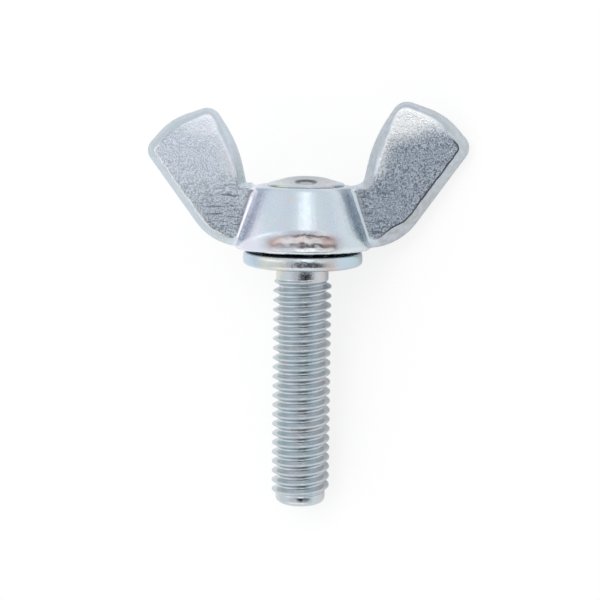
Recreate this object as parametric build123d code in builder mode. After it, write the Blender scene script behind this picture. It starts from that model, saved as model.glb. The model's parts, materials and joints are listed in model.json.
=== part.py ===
"""Wing screw M6 x 25: a forged wing head riveted on a flanged, threaded stud.

Both solids are drawn upright: the screw axis is Z, the bearing face of the flange is
at z = 0, the thread hangs below it and the wings stand above it, spread along X.
The last section lays them down the way the screw comes to rest on a table.
"""

import os
from math import atan2, cos, degrees, sin

from build123d import *

# Thread and shank of the stud, mm
thread_d = 6.0
length = 25.0
neck_d = 5.35
neck_length = 1.2
neck_flare = 0.35
point_d = 5.15
point_length = 1.0
point_chamfer = 0.35
thread_chamfer = 0.3

# Flange under the head, mm
flange_d = 12.2
flange_h = 1.5
flange_chamfer_top = 0.2
flange_chamfer_bottom = 0.2

# Tenon and rivet that hold the head, mm
tenon_d = 6.4
tenon_gap = 0.05
rivet_lap = 0.65
rivet_rim = 0.35
rivet_h = 0.68
rivet_shift = 0.25
dimple_d = 3.6
dimple_depth = 0.35

# Hub of the wing head, mm
boss_d = 10.7
boss_h = 0.2
hub_base_r = 7.05
hub_top_r = 4.9
hub_h = 6.4
belly_depth = 6.2
belly_arc_r = 7.4
belly_round = 0.6
hub_base_round = 0.25
hub_top_chamfer = 0.2

# Wings, mm: corners of the larger wing, measured from the axis and the hub base
wing_corners = [
    (2.0, 0.0),
    (9.72, 0.0),
    (17.2, 10.45),
    (14.3, 13.75),
    (9.65, 15.35),
    (6.9, 11.1),
    (6.0, 6.8),
    (4.5, 6.35),
    (2.0, 6.35),
]
wing_rounds = [0, 6.3, 1.5, 6.8, 1.65, 13.5, 0.6, 0, 0]
small_wing = 0.945
wing_half_t = 1.45
wing_draft = 32.0
parting_round = 0.4
root_round = 0.5
roll_start = 11.4
roll_r = 8.0
roll_angle = 30.0

bore_d = tenon_d + 2 * tenon_gap
rivet_d = bore_d + 2 * rivet_lap
hub_z = flange_h + boss_h
rivet_z = hub_z + hub_h
hub_slope = (hub_base_r - hub_top_r) / (hub_h - hub_top_chamfer)
blend_low = 0.0
blend_high = rivet_z + boss_h + root_round

# --- Wings ------------------------------------------------------------------------

wing_plane = Plane(origin=(0, 0, hub_z), x_dir=(1, 0, 0), z_dir=(0, -1, 0))

with BuildPart() as wings:
    for side, size in ((1, 1.0), (-1, small_wing)):
        corners = [(side * size * x, size * z) for x, z in wing_corners]
        with BuildPart() as wing:
            with BuildSketch(wing_plane) as outline:
                with BuildLine():
                    Polyline(*corners, close=True)
                make_face()
                for corner, radius in zip(corners, wing_rounds):
                    if radius:
                        nearest = outline.vertices().sort_by_distance((*corner, 0))[0]
                        fillet(nearest, size * radius)
            extrude(amount=wing_half_t + root_round)
            draft(wing.faces().filter_by(Axis.Y, reverse=True), wing_plane, wing_draft)
            mirror(about=Plane.XZ)

    # The wings keep one thickness, roll back to a thinner tip and blend into the hub
    with BuildPart(mode=Mode.INTERSECT) as thickness:
        with BuildSketch(Plane.YZ):
            with BuildLine():
                flat = Line((wing_half_t, 0), (wing_half_t, hub_z + roll_start))
                roll = JernArc(flat @ 1, (0, 1), roll_r, roll_angle)
                Polyline(roll @ 1, (0, (roll @ 1).Y), (0, 0), (wing_half_t, 0))
            make_face()
            mirror(about=Plane.YZ)
        extrude(amount=hub_h * 5, both=True)
        with Locations((0, 0, blend_low)):
            Cone(
                hub_base_r + hub_slope * (hub_z - blend_low),
                hub_base_r + hub_slope * (hub_z - blend_high),
                blend_high - blend_low,
                align=(Align.CENTER, Align.CENTER, Align.MIN),
            )
        fillet(thickness.edges().filter_by(GeomType.HYPERBOLA), root_round)

    parting = [
        edge
        for edge in wings.edges()
        if edge.bounding_box().size.Y < 0.001
        and abs(edge.center().Y) < 0.001
        and abs(edge.center().X) > hub_top_r
    ]
    fillet(parting, parting_round)

# --- Wing head: hub, wings, boss and bore -----------------------------------------

with BuildPart() as head:
    with BuildSketch(Plane.XZ):
        with BuildLine():
            Polyline(
                (0, hub_z),
                (hub_base_r, hub_z),
                (hub_top_r, rivet_z - hub_top_chamfer),
                (hub_top_r - hub_top_chamfer, rivet_z),
                (0, rivet_z),
                close=True,
            )
        make_face()
    revolve(axis=Axis.Z)

    # The belly stands upright in front and behind, where the hub is cut short
    with BuildSketch(Plane.XY.offset(hub_z)):
        with Locations((0, belly_arc_r - belly_depth)):
            Circle(belly_arc_r)
        with Locations((0, belly_depth - belly_arc_r)):
            Circle(belly_arc_r, mode=Mode.INTERSECT)
    extrude(amount=hub_h, mode=Mode.INTERSECT)

    fillet(head.edges().filter_by(GeomType.BSPLINE), belly_round)
    fillet(head.faces().sort_by(Axis.Z)[0].edges(), hub_base_round)
    add(wings.part)

    with Locations((0, 0, flange_h)):
        Cylinder(boss_d / 2, boss_h + hub_h / 2, align=(Align.CENTER, Align.CENTER, Align.MIN))
        Cylinder(
            bore_d / 2,
            boss_h + hub_h,
            align=(Align.CENTER, Align.CENTER, Align.MIN),
            mode=Mode.SUBTRACT,
        )

# --- Flanged stud: shank, flange, tenon and rivet ----------------------------------

with BuildPart() as stud:
    Cylinder(neck_d / 2, neck_length, align=(Align.CENTER, Align.CENTER, Align.MAX))
    with Locations((0, 0, -neck_length)):
        Cylinder(
            thread_d / 2,
            length - neck_length - point_length,
            align=(Align.CENTER, Align.CENTER, Align.MAX),
        )
    chamfer(stud.edges().filter_by(GeomType.CIRCLE).group_by(SortBy.RADIUS)[-1], thread_chamfer)
    with Locations((0, 0, point_length - length)):
        Cylinder(
            point_d / 2,
            point_length,
            align=(Align.CENTER, Align.CENTER, Align.MAX),
        )
    chamfer(stud.edges().sort_by(Axis.Z)[0], point_chamfer)

    Cylinder(flange_d / 2, flange_h, align=(Align.CENTER, Align.CENTER, Align.MIN))
    rim = stud.edges().filter_by(GeomType.CIRCLE).group_by(SortBy.RADIUS)[-1].sort_by(Axis.Z)
    chamfer(rim[0], flange_chamfer_bottom)
    chamfer(rim[1], flange_chamfer_top)

    with Locations((0, 0, -neck_flare)):
        Cone(
            neck_d / 2,
            neck_d / 2 + neck_flare,
            neck_flare,
            align=(Align.CENTER, Align.CENTER, Align.MIN),
        )

    with Locations((0, 0, flange_h)):
        Cylinder(
            tenon_d / 2,
            boss_h + hub_h,
            align=(Align.CENTER, Align.CENTER, Align.MIN),
        )

    # The riveted end sits a little to one side, domed and dimpled by the punch
    with BuildSketch(Plane(origin=(rivet_shift, 0, rivet_z), x_dir=(1, 0, 0), z_dir=(0, -1, 0))):
        with BuildLine():
            rim = (rivet_d / 2, rivet_rim)
            lip = (dimple_d / 2, rivet_h)
            pit = (0, rivet_h - dimple_depth)
            Spline(lip, pit, tangents=((-1, -0.45), (-1, 0)))
            Polyline(pit, (0, 0), (rivet_d / 2, 0), rim, lip)
        make_face()
    revolve(axis=Axis((rivet_shift, 0, 0), (0, 0, 1)))

# --- At rest: flange rim, thread end and hub touch the table -----------------------

rim_r = flange_d / 2
rim_z = flange_chamfer_bottom
end_r = thread_d / 2
end_z = point_length + thread_chamfer - length
axis_tilt = atan2(rim_r - end_r, rim_z - end_z)
drop = cos(axis_tilt) * end_r - sin(axis_tilt) * end_z


def laid_down(roll):
    """Place the screw on its back, turned by roll degrees towards the larger wing."""
    return Pos(0, 0, drop) * Rotation(degrees(axis_tilt) - 90, 0, 0) * Rotation(0, 0, roll)


clear = 0.0
buried = 60.0
for step in range(16):
    middle = (clear + buried) / 2
    if (laid_down(middle) * head.part).bounding_box().min.Z < 0:
        buried = middle
    else:
        clear = middle

laid = laid_down(clear)
extent = Compound([laid * head.part, laid * stud.part]).bounding_box()
rest = Pos(-extent.center().X, -extent.center().Y, 0) * laid

with BuildPart() as wing_head:
    add(rest * head.part)
wing_head.part.label = "wing_head"

with BuildPart() as flanged_stud:
    add(rest * stud.part)
flanged_stud.part.label = "flanged_stud"

os.makedirs("parts", exist_ok=True)
export_step(wing_head.part, "parts/wing_head.step")
export_step(flanged_stud.part, "parts/flanged_stud.step")
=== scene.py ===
"""Looks for the wing screw: zinc-plated forged wing head on a threaded stud.

Sizes are in millimetres in the screw's own upright frame (axis Z, bearing face at
z = 0, wings along X), as in the part's source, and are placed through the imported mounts.
"""
import json
from math import cos, pi, radians, sin

import bmesh
import bpy
import numpy as np
from mathutils import Matrix, Vector


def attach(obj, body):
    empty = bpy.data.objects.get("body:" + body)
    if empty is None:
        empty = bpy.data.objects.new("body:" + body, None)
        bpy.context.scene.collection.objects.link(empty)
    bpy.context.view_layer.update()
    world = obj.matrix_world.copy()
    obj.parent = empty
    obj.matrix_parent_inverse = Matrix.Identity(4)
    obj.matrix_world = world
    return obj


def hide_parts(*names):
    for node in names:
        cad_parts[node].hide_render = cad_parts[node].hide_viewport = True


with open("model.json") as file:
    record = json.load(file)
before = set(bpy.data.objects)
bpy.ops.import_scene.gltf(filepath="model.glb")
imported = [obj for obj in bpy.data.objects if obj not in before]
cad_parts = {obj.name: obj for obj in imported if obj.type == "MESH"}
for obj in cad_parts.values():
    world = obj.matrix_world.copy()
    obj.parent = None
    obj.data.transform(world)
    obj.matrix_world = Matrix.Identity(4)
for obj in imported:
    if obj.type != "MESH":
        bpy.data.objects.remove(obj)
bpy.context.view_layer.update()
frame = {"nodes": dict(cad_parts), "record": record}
record = frame["record"]

MM = 0.001

# --- The screw's own frame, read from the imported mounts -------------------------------

mounts = {m["name"]: m for m in record["mounts"]}
thread_pos = Vector(mounts["thread"]["pos_m"])
face_pos = Vector(mounts["bearing_face"]["pos_m"])
up_axis = -Vector(mounts["thread"]["axis"]).normalized()
origin = thread_pos + (face_pos - thread_pos).dot(up_axis) * up_axis
x_axis = (face_pos - origin).normalized()
y_axis = up_axis.cross(x_axis)
LOCAL = Matrix((x_axis, y_axis, up_axis)).transposed()
REST = Matrix.Translation(origin) @ (LOCAL * MM).to_4x4()
LOCAL_MM = np.array(REST.inverted())


def to_local(points):
    """Row-frame points in metres, as upright millimetres."""
    return points @ LOCAL_MM[:3, :3].T + LOCAL_MM[:3, 3]


def to_row_frame(points):
    """Upright millimetres, as row-frame points in metres."""
    return points @ np.array(REST.to_3x3()).T + np.array(REST.translation)


def soft_step(value, low, high):
    """0 up to low, 1 from high on, with a smooth rise between."""
    t = np.clip((value - low) / (high - low), 0.0, 1.0)
    return t * t * (3 - 2 * t)


def bell(value, centre, width):
    return np.exp(-(((value - centre) / width) ** 2))


def link(thing):
    bpy.context.scene.collection.objects.link(thing)
    return thing


# --- Sizes of the stud, mm ------------------------------------------------------------

THREAD_R = 3.0
PITCH = 1.0
THREAD_DEPTH = 0.61
LENGTH = 25.0
NECK_R = 2.675
NECK_LENGTH = 1.2
NECK_FLARE = 0.35
POINT_R = 2.575
POINT_LENGTH = 1.0
POINT_ROUND = 0.55
POINT_INNER_R = 0.8
FLANGE_H = 1.5
TENON_R = 3.2

# Radius and height of the flange's rim, from its top edge to its bottom edge
FLANGE_PROFILE = [
    (5.6, 1.5),
    (5.83, 1.46),
    (5.98, 1.35),
    (6.06, 1.2),
    (6.09, 1.02),
    (6.1, 0.8),
    (6.1, 0.5),
    (6.08, 0.33),
    (5.98, 0.18),
    (5.8, 0.07),
    (5.55, 0.0),
]

# Riveted end: radius and height over the hub, from the punch mark out to the rim. Its
# crown leans forward, and the lean fades out towards the rim
RIVET_Z = 8.1
RIVET_SHIFT = 0.25
RIVET_LEAN = 0.13
RIVET_LEAN_FADE = (2.1, 3.7)
PUNCH_DEPTH = 0.01
RIVET_PROFILE = [
    (0.3, 0.20),
    (0.85, 0.20),
    (0.98, 0.23),
    (1.08, 0.34),
    (1.3, 0.40),
    (1.7, 0.47),
    (2.1, 0.52),
    (2.5, 0.50),
    (2.9, 0.44),
    (3.4, 0.34),
    (3.72, 0.27),
    (3.86, 0.2),
    (3.9, 0.1),
    (3.9, 0.0),
    (3.6, 0.0),
]

# --- Short calls for node materials -----------------------------------------------------


class Nodes:
    """A node tree with short calls for the nodes that the materials use."""

    def __init__(self, tree):
        tree.nodes.clear()
        self.tree = tree

    def add(self, kind, inputs=None, **settings):
        node = self.tree.nodes.new(kind)
        for name, value in settings.items():
            setattr(node, name, value)
        for name, value in (inputs or {}).items():
            self.put(node.inputs[name], value)
        return node

    def put(self, socket, value):
        if isinstance(value, bpy.types.NodeSocket):
            self.tree.links.new(value, socket)
        else:
            socket.default_value = value

    def math(self, operation, a, b=0.0, clamp=False):
        node = self.add("ShaderNodeMath", operation=operation, use_clamp=clamp)
        self.put(node.inputs[0], a)
        self.put(node.inputs[1], b)
        return node.outputs[0]

    def times(self, first, *others):
        for other in others:
            first = self.math("MULTIPLY", first, other)
        return first

    def plus(self, a, b):
        return self.math("ADD", a, b)

    def minus(self, a, b):
        return self.math("SUBTRACT", a, b)

    def distance(self, value, centre):
        return self.math("ABSOLUTE", self.minus(value, centre))

    def vector(self, operation, a, b):
        node = self.add("ShaderNodeVectorMath", operation=operation)
        self.put(node.inputs[0], a)
        self.put(node.inputs[1], b)
        return node.outputs["Value" if operation == "DOT_PRODUCT" else "Vector"]

    def ramp(self, value, low, high, start=0.0, end=1.0):
        """start up to low, end from high on, with a smooth change between."""
        limits = {"From Min": low, "From Max": high, "To Min": start, "To Max": end}
        node = self.add("ShaderNodeMapRange", {"Value": value, **limits}, clamp=True)
        node.interpolation_type = "SMOOTHSTEP"
        return node.outputs["Result"]

    def mix(self, factor, a, b):
        node = self.add("ShaderNodeMix", data_type="RGBA")
        self.put(node.inputs["Factor"], factor)
        self.put(node.inputs[6], a)
        self.put(node.inputs[7], b)
        return node.outputs[2]

    def noise(
        self, point, scale, detail=3.0, roughness=0.55, distortion=0.0, offset=None, stretch=None
    ):
        if offset:
            point = self.vector("ADD", point, offset)
        if stretch:
            point = self.vector("MULTIPLY", point, stretch)
        inputs = {
            "Vector": point,
            "Scale": scale,
            "Detail": detail,
            "Roughness": roughness,
            "Distortion": distortion,
        }
        return self.add("ShaderNodeTexNoise", inputs).outputs["Fac"]

    def share(self, name):
        """One of the shares that are stored on the points of the mesh."""
        return self.add("ShaderNodeAttribute", attribute_name=name).outputs["Fac"]

    def surface(self, shader, output="ShaderNodeOutputMaterial"):
        self.put(self.add(output).inputs["Surface"], shader)


def rgba(red, green, blue):
    return (red, green, blue, 1.0)


def upright(n):
    """Object coordinates turned into the screw's upright frame, in millimetres."""
    inverse = REST.inverted()
    placing = {
        "Vector": n.add("ShaderNodeTexCoord").outputs["Object"],
        "Location": inverse.translation,
        "Rotation": inverse.to_3x3().to_euler(),
        "Scale": (1 / MM,) * 3,
    }
    return n.add("ShaderNodeMapping", placing, vector_type="POINT").outputs["Vector"]


def painted(name):
    """A new material and its empty tree of nodes."""
    material = bpy.data.materials.new(name)
    material.use_nodes = True
    return material, Nodes(material.node_tree)


def metal(n, colour, roughness, height, depth_mm):
    """Bare metal whose height map is depth_mm deep."""
    bump = n.add("ShaderNodeBump", {"Height": height, "Strength": 1.0, "Distance": depth_mm * MM})
    inputs = {
        "Base Color": colour,
        "Metallic": 1.0,
        "Roughness": roughness,
        "Normal": bump.outputs["Normal"],
    }
    n.surface(n.add("ShaderNodeBsdfPrincipled", inputs).outputs["BSDF"])


# --- Zinc plating -------------------------------------------------------------------------

HEAD_BLUE = rgba(0.585, 0.66, 0.73)
HEAD_CYAN = rgba(0.59, 0.67, 0.71)
HEAD_LILAC = rgba(0.62, 0.645, 0.725)
HEAD_WARM = rgba(0.66, 0.62, 0.59)
HEAD_PIT = rgba(0.12, 0.15, 0.19)
# Brown: darker under the belly's crest and at its ends
HEAD_BELLY_BROWN = rgba(0.52, 0.42, 0.41)
# Darker: painted shade on the flats away from the painted light
HEAD_PAD_SHADE = rgba(0.43, 0.49, 0.57)
# Light bluish: painted light on the left flat, towards its top
HEAD_HAZE_AND_PAINTED_LIGHT = rgba(0.76, 0.82, 0.91)
# Pale lilac: painted sheen on the left of the hub
HEAD_PAINTED_SHEEN = rgba(0.80, 0.80, 0.88)
# Grey: the rims' own greyer tone, with painted shade on the right wing's rims
HEAD_BAND_SHADE = rgba(0.42, 0.44, 0.46)
# Near black: painted shade in the crease under the right wing and in the gap under the hub
HEAD_CREASE_SHADE = rgba(0.05, 0.05, 0.06)
# Near white: the painted highlight on the tips, top rims and lower left rim of the flats
HEAD_HIGHLIGHT_AND_WEAR = rgba(0.93, 0.94, 0.94)
HEAD_BUMP = 0.055

# Noises of the head; scales are waves per mm
HEAD_CLOUDS = {"scale": 0.30, "detail": 2.0, "roughness": 0.5, "distortion": 0.6}
LILAC_CLOUDS = {"scale": 0.42, "detail": 2.0, "offset": (-11.0, 17.0, 9.0)}
WARM_CLOUDS = {"scale": 0.55, "offset": (31.0, 7.0, 3.0)}
GRAIN = {"scale": 7.2, "roughness": 0.8}
COARSE_GRAIN = {"scale": 1.9, "detail": 2.0, "roughness": 0.5, "offset": (5.0, 3.0, 1.0)}
FACETS_SCALE = 5.5
FLOW = {
    "scale": 1.0,
    "detail": 4.0,
    "roughness": 0.7,
    "distortion": 0.3,
    "stretch": (0.45, 0.45, 3.2),
}
WANDER = {"scale": 0.8, "detail": 2.0}
WANDER_REACH = 0.25

RIVET_TOP = rgba(0.40, 0.45, 0.48)
# Dark brown: painted shade on the wall round the punch mark
DIMPLE_SHADE = rgba(0.10, 0.07, 0.06)
STUD_BLUE = rgba(0.50, 0.61, 0.70)
STUD_CYAN = rgba(0.52, 0.63, 0.68)
# Red, grey and cream: painted reflections on the stud and flange
STUD_RED_REFLECTION = rgba(0.60, 0.50, 0.47)
STUD_GREY_REFLECTION = rgba(0.58, 0.60, 0.62)
STUD_CREAM_REFLECTION = rgba(0.66, 0.66, 0.58)
STUD_BUMP = 0.03

# Noises of the stud, and where its painted reflections lie: middle and half width in mm along X
STUD_CLOUDS = {"scale": 0.45, "detail": 2.0, "roughness": 0.5, "distortion": 0.6}
STUD_WARM_CLOUDS = {"scale": 0.6, "offset": (13.0, 2.0, 5.0)}
STUD_COARSE = {"scale": 1.8, "detail": 2.0}
STUD_FINE = {"scale": 5.0, "roughness": 0.6}
STUD_MOTTLE = {"scale": 3.2, "detail": 2.0, "roughness": 0.6}
CREAM_X, CREAM_HALF = -3.0, (0.6, 2.0)
RED_X, RED_HALF = 2.6, (0.3, 1.5)
GREY_HALF = (1.2, 4.2)
FLANGE_FADE = (-2.2, -1.0)
RIVET_TOP_FADE = (2.2, 3.6)
WALL_INNER = (0.55, 0.85)
WALL_OUTER = (1.08, 1.2)

# Where the flats of the wings end, measured inwards from the wing's outline
RIM_INSET = 0.906
CREASE_INSET = RIM_INSET + 0.05


def head_tints(n, point, warm, coarse):
    """Passivation tints in soft clouds, then the tones of each area of the head, with painted
    highlights and shade among them.
    """
    clouds = n.noise(point, **HEAD_CLOUDS)
    lilac = n.noise(point, **LILAC_CLOUDS)
    pad, haze_and_painted_light, wear_and_highlight = n.share("pad"), n.share("haze_and_painted_light"), n.share("wear_and_highlight")
    pad_shade = n.times(pad, n.math("SUBTRACT", 1.0, n.math("MAXIMUM", haze_and_painted_light, wear_and_highlight), clamp=True))
    lit = n.minus(0.85, n.times(haze_and_painted_light, 0.45))
    colour = n.mix(n.ramp(clouds, 0.38, 0.62), HEAD_BLUE, HEAD_CYAN)
    for share, tint in (
        (n.ramp(lilac, 0.50, 0.66, 0, 0.7), HEAD_LILAC),
        (n.ramp(warm, 0.60, 0.76, 0, 0.55), HEAD_WARM),
        # Brown, darker under the belly's crest and at its ends, broken up by the warm clouds
        (n.times(n.share("belly_brown"), n.ramp(warm, 0.35, 0.6, 0.55, 1.0)), HEAD_BELLY_BROWN),
        # Painted shade: the flats are darker away from their painted light, most on the right wing
        (n.times(pad_shade, 0.8), HEAD_PAD_SHADE),
        # Painted light: the left flat is lighter, more so towards its top; its haze also makes it
        # rougher
        (n.times(haze_and_painted_light, 0.75), HEAD_HAZE_AND_PAINTED_LIGHT),
        # Tips and top rims of the flats: worn smooth, and painted with a highlight, less on the
        # hazy left flat
        (n.times(wear_and_highlight, pad, lit), HEAD_HIGHLIGHT_AND_WEAR),
        # Greyer rims beside the flats, with painted shade strongest low on the right wing
        (n.times(n.share("band_shade"), n.ramp(coarse, 0.3, 0.7, 0.55, 1.0)), HEAD_BAND_SHADE),
        # The hub's foot is lightened a quarter of the way to that near white colour
        (n.times(n.share("foot"), 0.25), HEAD_HIGHLIGHT_AND_WEAR),
        # Painted sheen: a pale lilac patch on the left of the hub
        (n.times(n.share("painted_sheen"), 0.9), HEAD_PAINTED_SHEEN),
    ):
        colour = n.mix(share, colour, tint)
    return colour


def zinc_head():
    """Forged and plated: grainy on the flats of the wings, smoother on the hub and rims."""
    material, n = painted("zinc_plated_head")
    point = upright(n)
    pad, root, wear_and_highlight, haze_and_painted_light = n.share("pad"), n.share("root"), n.share("wear_and_highlight"), n.share("haze_and_painted_light")
    warm = n.noise(point, **WARM_CLOUDS)
    grain = n.noise(point, **GRAIN)
    coarse = n.noise(point, **COARSE_GRAIN)
    cells = {"Vector": point, "Scale": FACETS_SCALE, "Randomness": 1.0}
    facets = n.add("ShaderNodeTexVoronoi", cells).outputs["Distance"]
    colour = head_tints(n, point, warm, coarse)

    # Blasted grain of the flats, 0.1 to 0.3 mm, with dull pits, fewer where wear has smoothed it
    pits = n.times(n.ramp(grain, 0.42, 0.55, 1.0, 0.0), n.minus(1.0, n.times(haze_and_painted_light, 0.52)))
    pits = n.times(pits, n.minus(1.0, n.times(wear_and_highlight, 0.85)))
    colour = n.mix(n.times(pits, pad), colour, HEAD_PIT)

    # Flow lines that the die left across the roots of the wings
    flow = n.noise(point, **FLOW)
    flow_lines = n.times(n.ramp(flow, 0.38, 0.50, 1.0, 0.0), root)
    colour = n.mix(n.times(flow_lines, 0.85), colour, HEAD_PIT)

    # Edge of the flats: a painted highlight line under the left wing, a crease with painted shade
    # in it under the right one
    wander = n.times(n.minus(n.noise(point, **WANDER), 0.5), WANDER_REACH)
    off_line = n.distance(n.plus(n.share("inset"), wander), CREASE_INSET)
    line = n.ramp(off_line, 0.04, 0.12, 1.0, 0.0)
    shaded_crease = n.times(line, n.share("rim_crease_shade"))
    colour = n.mix(n.times(line, n.share("rim_highlight"), 0.9), colour, HEAD_HIGHLIGHT_AND_WEAR)
    colour = n.mix(n.times(shaded_crease, 0.9), colour, HEAD_CREASE_SHADE)
    # Painted shade on the hub's underside, down in the gap over the flange
    colour = n.mix(n.times(n.share("gap_shade"), 0.9), colour, HEAD_CREASE_SHADE)

    rough_share = n.times(pad, n.minus(1.0, n.times(wear_and_highlight, 0.6)))
    height = n.plus(grain, n.times(coarse, 0.5))
    height = n.times(rough_share, n.plus(height, n.times(facets, 0.8)))
    for layer in (n.times(root, flow, 1.5), n.times(grain, 0.12), n.times(coarse, 0.20)):
        height = n.plus(height, layer)
    height = n.minus(height, n.times(shaded_crease, 0.8))
    roughness = n.plus(n.ramp(coarse, 0.3, 0.7, 0.24, 0.31), n.times(haze_and_painted_light, 0.12))
    metal(n, colour, roughness, height, HEAD_BUMP)
    return material


def zinc_stud():
    """Cold headed and rolled: brighter and smoother than the head, with painted reflections in
    grey, cream and brown.
    """
    material, n = painted("zinc_plated_stud")
    point = upright(n)
    place = n.add("ShaderNodeSeparateXYZ", {"Vector": point}).outputs
    x, y, z = place["X"], place["Y"], place["Z"]
    clouds = n.noise(point, **STUD_CLOUDS)
    warm = n.noise(point, **STUD_WARM_CLOUDS)
    coarse = n.noise(point, **STUD_COARSE)
    fine = n.noise(point, **STUD_FINE)

    # Painted reflections: grey down the middle, with cream to its left and red to its right on the
    # flange
    flange = n.ramp(z, *FLANGE_FADE, 0.35, 0.9)
    mottled = n.ramp(warm, 0.35, 0.65, 0.35, 1.0)
    centre = n.ramp(n.math("ABSOLUTE", x), *GREY_HALF, 1.0, 0.0)
    cream = n.ramp(n.distance(x, CREAM_X), *CREAM_HALF, 1.0, 0.0)
    red = n.ramp(n.distance(x, RED_X), *RED_HALF, 1.0, 0.0)

    # The rivet is duller towards its middle, with painted shade on the wall round the punch mark
    across = n.minus(x, RIVET_SHIFT)
    radius = n.math("SQRT", n.plus(n.times(across, across), n.times(y, y)))
    on_rivet = n.ramp(z, RIVET_Z, RIVET_Z + 0.1)
    wall_shade = n.times(n.ramp(radius, *WALL_OUTER, 0.85, 0.0), n.ramp(radius, *WALL_INNER))

    colour = n.mix(n.ramp(clouds, 0.38, 0.62), STUD_BLUE, STUD_CYAN)
    for share, tint in (
        # Painted reflections: grey down the middle, cream and red on the flange
        (n.times(centre, n.ramp(clouds, 0.3, 0.6, 0.9, 0.5)), STUD_GREY_REFLECTION),
        (n.times(cream, mottled, flange), STUD_CREAM_REFLECTION),
        (n.times(red, mottled, flange), STUD_RED_REFLECTION),
        (n.times(on_rivet, n.ramp(radius, *RIVET_TOP_FADE, 0.6, 0.0)), RIVET_TOP),
        # Painted shade on the wall round the punch mark
        (n.times(on_rivet, wall_shade), DIMPLE_SHADE),
    ):
        colour = n.mix(share, colour, tint)

    height = n.plus(n.times(fine, 0.25), n.times(coarse, 0.5))
    height = n.plus(height, n.times(flange, centre, n.noise(point, **STUD_MOTTLE)))
    metal(n, colour, n.ramp(coarse, 0.3, 0.7, 0.14, 0.26), height, STUD_BUMP)
    return material


# --- Threaded stud ------------------------------------------------------------------------

AROUND = 120
ROWS_PER_PITCH = 16
ROUND_STEPS = 6
POINT_STEPS = 8

# The thread's form: shares of the pitch, and the run-outs at the neck and the point
CREST_HALF = 0.06
FLANK_SLOPE = 1.732
CREST_RIDGE = 0.035
CREST_RIDGE_WIDTH = 0.07
ROOT_ROUNDNESS = 0.25
NECK_FADE = 0.9
POINT_FADE = 0.35
MERGE = 1e-4


def rounded(centre, radius, start, end, steps):
    """Points (r, z) on an arc in the half plane of the axis, angles in degrees."""
    angles = np.radians(np.linspace(start, end, steps))
    return [(centre[0] + radius * cos(a), centre[1] + radius * sin(a)) for a in angles]


def thread_radius(phase):
    """Radius at a share of the pitch from the crest: rounded crest, 60 degree flanks."""
    away = abs((phase + 0.5) % 1.0 - 0.5)
    flank = min(max((away - CREST_HALF) * PITCH * FLANK_SLOPE, 0.0), THREAD_DEPTH)
    wave = THREAD_DEPTH * (0.5 - 0.5 * cos(pi * flank / THREAD_DEPTH))
    depth = (1 - ROOT_ROUNDNESS) * flank + ROOT_ROUNDNESS * wave
    return THREAD_R - CREST_RIDGE - depth + CREST_RIDGE * float(bell(away, 0.0, CREST_RIDGE_WIDTH))


class Lathe:
    """Rings of vertices about the screw's axis, joined into one surface."""

    def __init__(self):
        self.angles = np.arange(AROUND) * 2 * pi / AROUND
        self.verts = []
        self.faces = []

    def ring(self, radius, z, shift=0.0, lean=0.0):
        start = len(self.verts)
        for a in self.angles:
            x, y = radius * cos(a), radius * sin(a)
            self.verts.append((x + shift, y, z + lean * y))
        return start

    def join(self, upper, lower):
        for i in range(AROUND):
            k = (i + 1) % AROUND
            self.faces.append((upper + i, lower + i, lower + k, upper + k))

    def sweep(self, sections, last=None):
        """Joins one ring after another, and returns the first and the last of them."""
        first = last
        for section in sections:
            current = self.ring(*section)
            if last is not None:
                self.join(last, current)
            first = current if first is None else first
            last = current
        return first, last

    def cap(self, start, centre, up):
        self.verts.append(centre)
        tip = len(self.verts) - 1
        for i in range(AROUND):
            a, b = start + i, start + (i + 1) % AROUND
            self.faces.append((a, b, tip) if up else (b, a, tip))

    def thread(self, high, low):
        """Rows that follow the helix, with their ends held at the planes high and low."""
        turns = round((high - low) / PITCH) + 2
        rows = turns * ROWS_PER_PITCH + 1
        grid = len(self.verts) + np.arange(AROUND * rows).reshape(AROUND, rows)
        for i, a in enumerate(self.angles):
            for j in range(rows):
                z = high + (i / AROUND - j / ROWS_PER_PITCH) * PITCH
                z = min(max(z, low), high)
                r = thread_radius(j / ROWS_PER_PITCH)
                r = NECK_R + (r - NECK_R) * float(soft_step(high - z, 0.0, NECK_FADE))
                r = POINT_R + (r - POINT_R) * float(soft_step(z - low, 0.0, POINT_FADE))
                self.verts.append((r * cos(a), r * sin(a), z))
        for i in range(AROUND):
            k = (i + 1) % AROUND
            lead = 0 if k else ROWS_PER_PITCH
            for j in range(rows - 1 - lead):
                near, far = grid[i, j + lead : j + lead + 2], grid[k, j : j + 2]
                self.faces.append((int(near[0]), int(near[1]), int(far[1]), int(far[0])))


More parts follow.
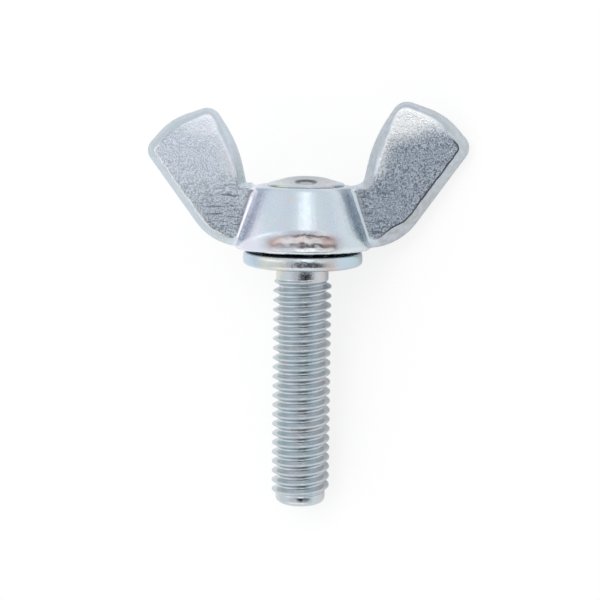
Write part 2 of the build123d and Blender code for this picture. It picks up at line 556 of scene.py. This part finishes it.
def stud_mesh():
    """One closed surface: riveted end, tenon, flange, neck, rolled thread and point."""
    low = POINT_LENGTH - LENGTH
    high = -NECK_LENGTH
    lathe = Lathe()

    # Riveted end, from the punch mark outwards and down to the flange and the neck
    profile = []
    for r, z in RIVET_PROFILE:
        lean = RIVET_LEAN * float(1 - soft_step(r, *RIVET_LEAN_FADE))
        profile.append((r, RIVET_Z + z, RIVET_SHIFT, lean))
    profile += [(TENON_R, RIVET_Z), (TENON_R, FLANGE_H)] + FLANGE_PROFILE
    profile += rounded((NECK_R + NECK_FLARE, -NECK_FLARE), NECK_FLARE, 90, 180, ROUND_STEPS)
    top, neck = lathe.sweep(profile)
    lathe.cap(top, (RIVET_SHIFT, 0.0, RIVET_Z + RIVET_PROFILE[0][1] - PUNCH_DEPTH), True)
    lathe.thread(high, low)
    lathe.sweep([(NECK_R, high)], neck)

    # Reduced point with a rounded end
    end = rounded((POINT_R - POINT_ROUND, POINT_ROUND - LENGTH), POINT_ROUND, 0, -90, POINT_STEPS)
    _, last = lathe.sweep([(POINT_R, low)] + end + [(POINT_INNER_R, -LENGTH)])
    lathe.cap(last, (0.0, 0.0, -LENGTH), False)

    mesh = bpy.data.meshes.new("flanged_stud_threaded")
    mesh.from_pydata(lathe.verts, [], lathe.faces)
    bm = bmesh.new()
    bm.from_mesh(mesh)
    bmesh.ops.remove_doubles(bm, verts=bm.verts, dist=MERGE)
    bmesh.ops.dissolve_degenerate(bm, edges=bm.edges, dist=MERGE)
    bmesh.ops.recalc_face_normals(bm, faces=bm.faces)
    bm.to_mesh(mesh)
    bm.free()
    mesh.transform(REST)
    mesh.shade_smooth()
    return mesh


stud = link(bpy.data.objects.new("threaded_stud", stud_mesh()))
stud.data.materials.append(zinc_stud())
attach(stud, "root")
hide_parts("flanged_stud")

# --- Forged wing head -----------------------------------------------------------------------

VOXEL = 0.13 * MM
WING_HALF_T = 1.45
HUB_Z = 1.7
HUB_BASE_R = 7.05
HUB_TOP_R = 4.9
HUB_H = 6.4
SMALL_WING = 0.945

# Corners of the larger wing's outline from the axis and the hub base, with their radii
WING_CORNERS = [
    (2.0, 0.0, 0.0),
    (9.72, 0.0, 6.3),
    (17.2, 10.45, 1.5),
    (14.3, 13.75, 6.8),
    (9.65, 15.35, 1.65),
    (6.9, 11.1, 13.5),
    (6.0, 6.8, 0.6),
    (4.5, 6.35, 0.0),
    (2.0, 6.35, 0.0),
]
ARC_STEPS = 9

# The shoulder's prism, and the place (x, z) and radius of the nib beside it
WEB = {"inner": 4.3, "outer": 7.2, "low": 3.0, "top": 6.38, "draft": 0.16, "side_share": 0.3}
NIB = (-5.35, 8.1, 0.32)

# Top and inner rim of the flats (x, z), where wear rounds them and a highlight is painted
SOFT_RIM = [(14.3, 15.45), (9.65, 17.05), (6.9, 12.8), (6.4, 10.6)]

# How each form fades in and out, in mm, and how many rounds of smoothing make it
RELAX_STEP = 0.5
VOXEL_ROUNDS = 3
WORN_RIM = {"off_rim": (1.1, 1.9), "depth": (0.5, 0.9), "reach": (6.4, 7.2), "rounds": 30}
ROOT = {
    "off_line": (0.35, 0.8),
    "depth": (0.9, 1.2),
    "low": (0.2, 0.8),
    "top": (5.2, 6.0),
    "rounds": 24,
}
FOOT = {"below": (0.5, 0.9), "above": (-0.15, 0.0), "depth": (2.5, 4.5), "rounds": 10}

# Crown of the flats: a radius about a middle height, then a steeper fall towards the tip
CROWN_MIDDLE = 6.5
CROWN_R = 70.0
CROWN_SPAN = (-5.0, 1.5)
CROWN_AREA = {"depth": (0.7, 1.4), "reach": (6.6, 7.6)}
CROWN_FALL = {"from": 8.0, "span": 3.0, "rate": 0.018}
CROWN_TIP = {"height": (11.0, 12.4), "drop": 0.08}

# Belly faces: an arched crest, the tuck under it, its lip, a seam and shallow waves
BELLY_CREST = 2.12
BELLY_ARCH = 0.035
BELLY_TUCK = 0.17
BELLY_LIP = 0.04
SEAM_X = 0.12
SEAM_DEPTH = 0.06
BELLY_WAVES = {"height": 0.028, "x": 4.3, "phase": 1.9, "z": 5.1, "skew": 1.1}
BELLY_FACE = {"depth": (4.9, 5.6), "reach": (1.9, 3.7), "low": (0.25, 0.75)}
TUCK_BELOW = (0.32, 0.95)
LIP_BELOW, LIP_WIDTH = 0.12, 0.2
SEAM_BELOW, SEAM_WIDTH = (0.0, 0.2), 0.1
WAVES_BELOW = (0.0, 0.4)

# Offset of the right wing's front half, and the extra lift of its lower corner
DIE_SHIFT = 0.38
DIE_REACH = (7.4, 9.6)
DIE_DEPTH = (0.1, 1.3)
CORNER_SHIFT = 0.55
CORNER_X, CORNER_WIDTH = 9.3, 1.6
CORNER_HEIGHT = (1.6, 4.5)

# Where the plating changes and where highlights and shade are painted: lengths in mm, but facing
# and down are cosines
PAD = {"facing": (0.86, 0.97), "reach": (5.0, 5.6), "lean": 0.30}
FLOW_AREA = {"x": 7.0, "z": 3.0, "squash": 0.8, "radius": (1.8, 4.2)}
UNDERSIDE = {"x": 9.72, "slope": 1.4, "over": (3.4, 4.6), "reach": (6.6, 7.4)}
TIP_WEAR_AND_HIGHLIGHT = {"x": 12.0, "slope": 0.35, "over": (10.6, 13.4), "off_rim": (0.8, 2.6)}
GAP_SHADE = {"down": (0.8, 0.95), "height": (0.1, 0.25), "radius": (5.9, 6.5)}
HAZE_AND_PAINTED_LIGHT = {"x": (-1.0, 1.0), "height": (2.0, 9.0), "least": 0.35}
BELLY_BROWN = {"reach": (2.6, 4.0), "over": (-0.15, 0.1), "height": (0.3, 0.6), "share": 0.55}
BROWN_ENDS = {"x": 2.8, "width": 1.0, "over": -0.5, "height": 0.5}
FOOT_AREA = {"top": (0.45, 0.7), "low": (-0.1, 0.1), "reach": (6.5, 7.5)}
PAINTED_SHEEN = {"x": (3.4, 5.0), "reach": (6.9, 7.3), "lean": 0.30}
BAND_SHADE = {"reach": (5.6, 6.4), "left": 0.3, "right": 0.7, "height": (3.0, 8.0)}


def add_web(bm, side):
    """The thick shoulder where a wing leaves the top of the hub, as a drafted prism."""
    rows = []
    for y, drop in ((-WING_HALF_T, WEB["draft"]), (0.0, 0.0), (WING_HALF_T, WEB["draft"])):
        low, top = HUB_Z + WEB["low"], HUB_Z + WEB["top"] - drop
        inner, outer = WEB["inner"], WEB["outer"] - drop * WEB["side_share"]
        corners = [(inner, low), (outer, low), (outer, top), (inner, top)]
        rows.append([bm.verts.new(REST @ Vector((side * x, y, z))) for x, z in corners])
    for near, far in zip(rows, rows[1:]):
        for i in range(4):
            k = (i + 1) % 4
            bm.faces.new((near[i], near[k], far[k], far[i]))
    bm.faces.new(rows[0][::-1])
    bm.faces.new(rows[-1])


def distance_to(line, x, z):
    """Distance of many points (x, z) from a polyline."""
    best = np.full(len(x), np.inf)
    for (x0, z0), (x1, z1) in zip(line, line[1:]):
        dx, dz = x1 - x0, z1 - z0
        t = np.clip(((x - x0) * dx + (z - z0) * dz) / (dx * dx + dz * dz), 0, 1)
        best = np.minimum(best, np.hypot(x - x0 - t * dx, z - z0 - t * dz))
    return best


def wing_outline():
    """The larger wing's outline (x, z from the hub base) with its corners rounded."""
    points = []
    for i, (x, z, radius) in enumerate(WING_CORNERS):
        here = np.array((x, z))
        if not radius:
            points.append(here)
            continue
        before = np.array(WING_CORNERS[i - 1][:2]) - here
        after = np.array(WING_CORNERS[(i + 1) % len(WING_CORNERS)][:2]) - here
        before /= np.hypot(*before)
        after /= np.hypot(*after)
        half = 0.5 * np.arccos(np.clip(before @ after, -1, 1))
        middle = before + after
        centre = here + middle / np.hypot(*middle) * radius / sin(half)
        start = here + before * radius / np.tan(half) - centre
        end = here + after * radius / np.tan(half) - centre
        for t in np.linspace(0, 1, ARC_STEPS):
            arm = start * (1 - t) + end * t
            points.append(centre + arm / np.hypot(*arm) * radius)
    return points + points[:1]


def relax(co, edges, share, rounds):
    """Moves each vertex towards the mean of its neighbours, by its share, so many times."""
    weight = (RELAX_STEP * share)[:, None]
    count = len(co)
    a, b = edges[:, 0], edges[:, 1]
    degree = np.bincount(a, minlength=count) + np.bincount(b, minlength=count)
    for _ in range(rounds):
        mean = np.empty_like(co)
        for axis in range(3):
            total = np.bincount(a, co[b, axis], count) + np.bincount(b, co[a, axis], count)
            mean[:, axis] = total / np.maximum(degree, 1)
        co += weight * (mean - co)


def read(collection, name, width, kind=float):
    values = np.empty(len(collection) * width, kind)
    collection.foreach_get(name, values)
    return values.reshape(-1, width)


def voxel_head():
    """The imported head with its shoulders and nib, as one even mesh of small faces."""
    head = link(bpy.data.objects.new("forged_wing_head", frame["nodes"]["wing_head"].data.copy()))
    bm = bmesh.new()
    bm.from_mesh(head.data)
    bmesh.ops.remove_doubles(bm, verts=bm.verts, dist=MERGE * MM)
    for side in (-1, 1):
        add_web(bm, side)
    x, z, r = NIB
    nib = Matrix.Translation(REST @ Vector((x, 0.0, z)))
    bmesh.ops.create_icosphere(bm, subdivisions=2, radius=r * MM, matrix=nib)
    bmesh.ops.recalc_face_normals(bm, faces=bm.faces)
    bm.to_mesh(head.data)
    bm.free()
    modifier = head.modifiers.new("voxels", "REMESH")
    modifier.mode = "VOXEL"
    modifier.voxel_size = VOXEL
    depsgraph = bpy.context.evaluated_depsgraph_get()
    mesh = bpy.data.meshes.new_from_object(head.evaluated_get(depsgraph))
    head.modifiers.clear()
    head.data = mesh
    mesh.materials.clear()
    return head


def parts(co):
    """Columns of the points: distance from the middle plane, depth, height over the hub base."""
    return np.abs(co[:, 0]), co[:, 1], co[:, 2] - HUB_Z


def wear_rims(co, edges):
    """The tops and inner rims of the flats are rounded by wear, their outer rims stay crisp."""
    x, y, z = parts(co)
    near = 1 - soft_step(distance_to(SOFT_RIM, x, z + HUB_Z), *WORN_RIM["off_rim"])
    near *= soft_step(np.abs(y), *WORN_RIM["depth"]) * soft_step(x, *WORN_RIM["reach"])
    relax(co, edges, near, WORN_RIM["rounds"])


def widen_roots(co, edges):
    """Wider blends where the flats meet the hub."""
    x, y, z = parts(co)
    cone = HUB_BASE_R - (HUB_BASE_R - HUB_TOP_R) * z / HUB_H
    line = np.sqrt(np.maximum(cone**2 - WING_HALF_T**2, 1.0))
    near = 1 - soft_step(np.abs(x - line), *ROOT["off_line"])
    near *= soft_step(np.abs(y), *ROOT["depth"])
    near *= soft_step(z, *ROOT["low"]) * (1 - soft_step(z, *ROOT["top"]))
    relax(co, edges, near, ROOT["rounds"])


def crown_flats(co):
    """The flats are crowned a little from root to tip."""
    x, y, z = parts(co)
    flat = soft_step(np.abs(y), *CROWN_AREA["depth"]) * soft_step(x, *CROWN_AREA["reach"])
    crown = np.clip(z - CROWN_MIDDLE, *CROWN_SPAN) ** 2 / (2 * CROWN_R)
    crown += CROWN_FALL["rate"] * np.clip(z - CROWN_FALL["from"], 0.0, CROWN_FALL["span"]) ** 2
    crown += CROWN_TIP["drop"] * soft_step(z, *CROWN_TIP["height"])
    co[:, 1] -= np.sign(y) * flat * crown


def round_foot(co, edges):
    """Rounded foot of the hub in front and behind."""
    _, y, z = parts(co)
    foot = (1 - soft_step(z, *FOOT["below"])) * soft_step(z, *FOOT["above"])
    foot *= soft_step(np.abs(y), *FOOT["depth"])
    relax(co, edges, foot, FOOT["rounds"])


def crest_of_belly(x):
    return BELLY_CREST - BELLY_ARCH * x**2


def tuck_belly(co):
    """Belly faces tuck in under their crest, and a short seam runs down the middle."""
    x, y, z = co[:, 0], co[:, 1], co[:, 2] - HUB_Z
    face = soft_step(np.abs(y), *BELLY_FACE["depth"])
    face *= 1 - soft_step(np.abs(x), *BELLY_FACE["reach"])
    below = crest_of_belly(x) - z
    tuck = BELLY_TUCK * soft_step(below, *TUCK_BELOW)
    lip = BELLY_LIP * bell(below, LIP_BELOW, LIP_WIDTH)
    seam = SEAM_DEPTH * bell(x, SEAM_X, SEAM_WIDTH) * soft_step(below, *SEAM_BELOW)
    waves = np.sin(BELLY_WAVES["x"] * x + BELLY_WAVES["phase"])
    waves *= np.sin(BELLY_WAVES["z"] * z + BELLY_WAVES["skew"] * x)
    waves *= BELLY_WAVES["height"] * soft_step(below, *WAVES_BELOW)
    relief = (tuck - lip + seam + waves) * soft_step(z, *BELLY_FACE["low"])
    co[:, 1] -= np.sign(y) * face * relief


def depth_inside(co):
    """How far each point lies inside the outline of its own wing."""
    x, _, z = parts(co)
    size = np.where(co[:, 0] < 0, SMALL_WING, 1.0)
    return distance_to(wing_outline(), x / size, z / size) * size


def shift_die_half(co):
    """The dies met a little off: the right wing's front half sits inwards, its foot higher."""
    x, y, z = co[:, 0], co[:, 1], co[:, 2] - HUB_Z
    share = soft_step(-y, *DIE_DEPTH) * (x > 0)
    corner = bell(x, CORNER_X, CORNER_WIDTH) * (1 - soft_step(z, *CORNER_HEIGHT))
    inwards = DIE_SHIFT * share * soft_step(x, *DIE_REACH)
    co[:, 2] += CORNER_SHIFT * share * corner
    co[:, 0] -= inwards


def area_shares(co, normals, inset):
    """Shares from 0 to 1 that tell the plating which area of the head a point is in, and where
    highlights and shade are painted.
    """
    x, y, _ = co.T
    reach, _, height = parts(co)
    left, right, front = x < 0, x > 0, y < 0
    cone_reach = reach - PAD["lean"] * (HUB_H - height)
    facing = np.abs(normals @ np.array(y_axis))
    down = -normals @ np.array(up_axis)
    over_crest = height - crest_of_belly(x)

    pad = soft_step(facing, *PAD["facing"]) * soft_step(cone_reach, *PAD["reach"])
    off_pad = 1 - pad
    off_root = np.hypot(reach - FLOW_AREA["x"], (height - FLOW_AREA["z"]) * FLOW_AREA["squash"])
    root = pad * (1 - soft_step(off_root, *FLOW_AREA["radius"]))
    # Lower rim of the flats: a painted highlight line on the left wing, painted shade in the
    # crease on the right
    over_underside = height - UNDERSIDE["slope"] * (reach - UNDERSIDE["x"])
    lower_rim = front * (1 - soft_step(over_underside, *UNDERSIDE["over"]))
    lower_rim *= soft_step(reach, *UNDERSIDE["reach"])
    # Tips and top rims of the flats: worn smooth, and painted with a highlight
    tip = soft_step(height + TIP_WEAR_AND_HIGHLIGHT["slope"] * (TIP_WEAR_AND_HIGHLIGHT["x"] - reach), *TIP_WEAR_AND_HIGHLIGHT["over"])
    soft_rim = 1 - soft_step(distance_to(SOFT_RIM, reach, co[:, 2]), *TIP_WEAR_AND_HIGHLIGHT["off_rim"])
    # Painted shade: the hub's underside where it faces down into the gap over the flange
    gap_shade = soft_step(down, *GAP_SHADE["down"]) * (1 - soft_step(height, *GAP_SHADE["height"]))
    gap_shade *= 1 - soft_step(np.hypot(x, y), *GAP_SHADE["radius"])
    # Painted light on the left flat, growing towards its top; the same share adds haze to its
    # roughness
    haze_and_painted_light = HAZE_AND_PAINTED_LIGHT["least"] + (1 - HAZE_AND_PAINTED_LIGHT["least"]) * soft_step(height, *HAZE_AND_PAINTED_LIGHT["height"])
    haze_and_painted_light *= pad * soft_step(-x, *HAZE_AND_PAINTED_LIGHT["x"])
    # Brown, darker tint under the belly's crest and at its ends
    belly = 1 - soft_step(reach, *BELLY_BROWN["reach"])
    belly *= 1 - soft_step(over_crest, *BELLY_BROWN["over"])
    belly_brown = bell(reach, BROWN_ENDS["x"], BROWN_ENDS["width"])
    belly_brown *= bell(over_crest, BROWN_ENDS["over"], BROWN_ENDS["height"])
    belly_brown += BELLY_BROWN["share"] * belly * soft_step(height, *BELLY_BROWN["height"])
    foot = (1 - soft_step(height, *FOOT_AREA["top"])) * soft_step(height, *FOOT_AREA["low"])
    foot *= 1 - soft_step(reach, *FOOT_AREA["reach"])
    # Painted sheen on the left of the hub, off the flats
    painted_sheen = 1 - soft_step(reach + PAINTED_SHEEN["lean"] * height, *PAINTED_SHEEN["reach"])
    painted_sheen *= soft_step(-x, *PAINTED_SHEEN["x"])
    # Greyer rims beside the flats, with painted shade strongest low on the right wing
    low_band = (1 - BAND_SHADE["right"]) * (1 - soft_step(height, *BAND_SHADE["height"]))
    band_shade = np.where(right, BAND_SHADE["right"] + low_band, BAND_SHADE["left"])
    band_shade *= soft_step(cone_reach, *BAND_SHADE["reach"])
    return {
        "pad": pad,
        "root": root,
        "inset": inset,
        "rim_crease_shade": lower_rim * right,
        "rim_highlight": lower_rim * left,
        "wear_and_highlight": np.maximum(tip, soft_rim),
        "gap_shade": gap_shade,
        "haze_and_painted_light": haze_and_painted_light,
        "belly_brown": np.minimum(belly_brown, 1) * off_pad,
        "band_shade": off_pad * band_shade,
        "foot": foot,
        "painted_sheen": off_pad * painted_sheen,
    }


def forged_head():
    """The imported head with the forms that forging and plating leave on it."""
    head = voxel_head()
    mesh = head.data
    edges = read(mesh.edges, "vertices", 2, np.int32)
    co = to_local(read(mesh.vertices, "co", 3))
    relax(co, edges, np.ones(len(co)), VOXEL_ROUNDS)
    wear_rims(co, edges)
    widen_roots(co, edges)
    crown_flats(co)
    round_foot(co, edges)
    tuck_belly(co)
    inset = depth_inside(co)
    shift_die_half(co)
    mesh.vertices.foreach_set("co", to_row_frame(co).astype(np.float32).ravel())
    mesh.update()
    mesh.shade_smooth()
    shares = area_shares(co, read(mesh.vertices, "normal", 3), inset)
    for name, values in shares.items():
        attribute = mesh.attributes.new(name, "FLOAT", "POINT")
        attribute.data.foreach_set("value", values.astype(np.float32))
    return head


head = forged_head()
head.data.materials.append(zinc_head())
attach(head, "root")
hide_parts("wing_head")

# --- Floor --------------------------------------------------------------------------------

FLOOR_REACH = 1.5
FLOOR_WHITE = rgba(0.94, 0.94, 0.94)
FLOOR_GLOW = 0.8
FLOOR_GLOW_IN_METAL = 0.15
WHITE = rgba(1.0, 1.0, 1.0)


def studio_floor():
    """White paper that keeps the shadow, and glows only for the rays that show it."""
    material, n = painted("studio_floor")
    paint = n.add("ShaderNodeBsdfDiffuse", {"Color": FLOOR_WHITE})
    glow = n.add("ShaderNodeEmission", {"Color": WHITE, "Strength": 1.0})
    paths = n.add("ShaderNodeLightPath").outputs
    share = n.times(paths["Is Camera Ray"], FLOOR_GLOW)
    share = n.math("MAXIMUM", share, n.times(paths["Is Glossy Ray"], FLOOR_GLOW_IN_METAL))
    share = n.math("MAXIMUM", share, n.times(paths["Is Transmission Ray"], FLOOR_GLOW))
    blend = n.add("ShaderNodeMixShader", {"Fac": share})
    n.put(blend.inputs[1], paint.outputs["BSDF"])
    n.put(blend.inputs[2], glow.outputs["Emission"])
    n.surface(blend.outputs["Shader"])
    return material


floor = link(bpy.data.objects.new("floor", bpy.data.meshes.new("floor")))
corners = [(i * FLOOR_REACH, j * FLOOR_REACH, 0) for i, j in ((-1, -1), (1, -1), (1, 1), (-1, 1))]
floor.data.from_pydata(corners, [], [(0, 1, 2, 3)])
floor.data.materials.append(studio_floor())

# --- Light --------------------------------------------------------------------------------

# The studio around the screw, by direction in its upright frame, in degrees: azimuth 0 is
# the open front of the light tent, where the camera stands, and is darker than the rest
TENT = rgba(0.92, 0.94, 0.97)
OPENING = rgba(0.74, 0.73, 0.76)
OPENING_RISE = -4.0
OPENING_HALF_HEIGHT = (13.0, 24.0)
OPENING_HALF_WIDTH = (36.0, 60.0)

# Dark and bright cards: azimuth, rise, half width, half height, where the edge starts and
# ends as shares of them, and colour
CARDS = [
    (16.0, -8.0, 40.0, 18.0, 0.4, 1.1, rgba(0.27, 0.25, 0.26)),
    (10.0, -8.0, 34.0, 12.0, 0.5, 1.1, rgba(0.02, 0.02, 0.02)),
    (6.0, 36.0, 16.0, 26.0, 0.5, 1.3, rgba(1.65, 1.65, 1.65)),
    (-62.0, 10.0, 30.0, 9.0, 0.5, 1.4, rgba(1.5, 1.5, 1.55)),
    (36.0, 9.0, 12.0, 10.0, 0.5, 1.4, rgba(1.3, 1.28, 1.2)),
    (-20.0, -44.0, 70.0, 18.0, 0.5, 1.2, rgba(1.35, 1.32, 1.25)),
]


def light_tent():
    """The world's light by direction, which the camera itself sees as white."""
    world = bpy.data.worlds.new("studio")
    world.use_nodes = True
    n = Nodes(world.node_tree)
    direction = n.add("ShaderNodeTexCoord").outputs["Generated"]
    right, toward, above = (
        n.vector("DOT_PRODUCT", direction, tuple(axis)) for axis in (x_axis, -y_axis, up_axis)
    )
    degrees = 180 / pi
    azimuth = n.times(n.math("ARCTAN2", right, toward), degrees)
    rise = n.times(n.math("ARCSINE", above), degrees)

    level = n.ramp(n.distance(rise, OPENING_RISE), *OPENING_HALF_HEIGHT, 1.0, 0.0)
    width = n.ramp(n.math("ABSOLUTE", azimuth), *OPENING_HALF_WIDTH, 1.0, 0.0)
    shade = n.mix(n.times(level, width), TENT, OPENING)
    for card_azimuth, card_rise, wide, high, inner, outer, colour in CARDS:
        a = n.math("DIVIDE", n.minus(azimuth, card_azimuth), wide)
        b = n.math("DIVIDE", n.minus(rise, card_rise), high)
        radius = n.math("SQRT", n.plus(n.times(a, a), n.times(b, b)))
        shade = n.mix(n.ramp(radius, inner, outer, 1.0, 0.0), shade, colour)
    shade = n.mix(n.add("ShaderNodeLightPath").outputs["Is Camera Ray"], shade, WHITE)
    background = n.add("ShaderNodeBackground", {"Color": shade, "Strength": 1.0})
    n.surface(background.outputs["Background"], "ShaderNodeOutputWorld")
    return world


# Key lamp: place and middle of its aim in upright millimetres, diameter, and power in watts
KEY_PLACE = (-150, -260, 160)
KEY_AIM = (0.0, 0.0, -5.0)
KEY_DIAMETER = 200
KEY_POWER = 0.25


def key_softbox():
    """A round area lamp, left out of reflections, where the cards stand in for it."""
    lamp = bpy.data.lights.new("key_softbox", "AREA")
    lamp.shape = "DISK"
    lamp.size = KEY_DIAMETER * MM
    lamp.energy = KEY_POWER
    holder = link(bpy.data.objects.new("key_softbox", lamp))
    place, target = REST @ Vector(KEY_PLACE), REST @ Vector(KEY_AIM)
    turn = (target - place).to_track_quat("-Z", "Y").to_matrix().to_4x4()
    holder.matrix_world = Matrix.Translation(place) @ turn
    holder.visible_glossy = False


bpy.context.scene.world = light_tent()
key_softbox()

# --- Camera, fitted in the upright frame ----------------------------------------------------

CAMERA_DISTANCE = 148.0
CAMERA_RISE = radians(9.08)
CAMERA_ROLL = 0.0112
CAMERA_AIM = (-0.225, 0.0, -3.678)
SENSOR = 36.0
LENS = 86.484

back = Vector((0.0, -cos(CAMERA_RISE), sin(CAMERA_RISE)))
eye = Vector(CAMERA_AIM) + CAMERA_DISTANCE * back
side = Vector((1.0, 0.0, 0.0))
roll = Matrix.Rotation(CAMERA_ROLL, 3, back)
axes = Matrix((roll @ side, roll @ back.cross(side), back)).transposed()
camera_data = bpy.data.cameras.new("camera")
camera_data.sensor_width = SENSOR
camera_data.lens = LENS
camera_data.clip_start = 0.005
camera_data.clip_end = 10.0
camera = link(bpy.data.objects.new("camera", camera_data))
camera.matrix_world = Matrix.Translation(REST @ eye) @ (LOCAL @ axes).to_4x4()
bpy.context.scene.camera = camera
bpy.context.scene.view_settings.view_transform = "Standard"
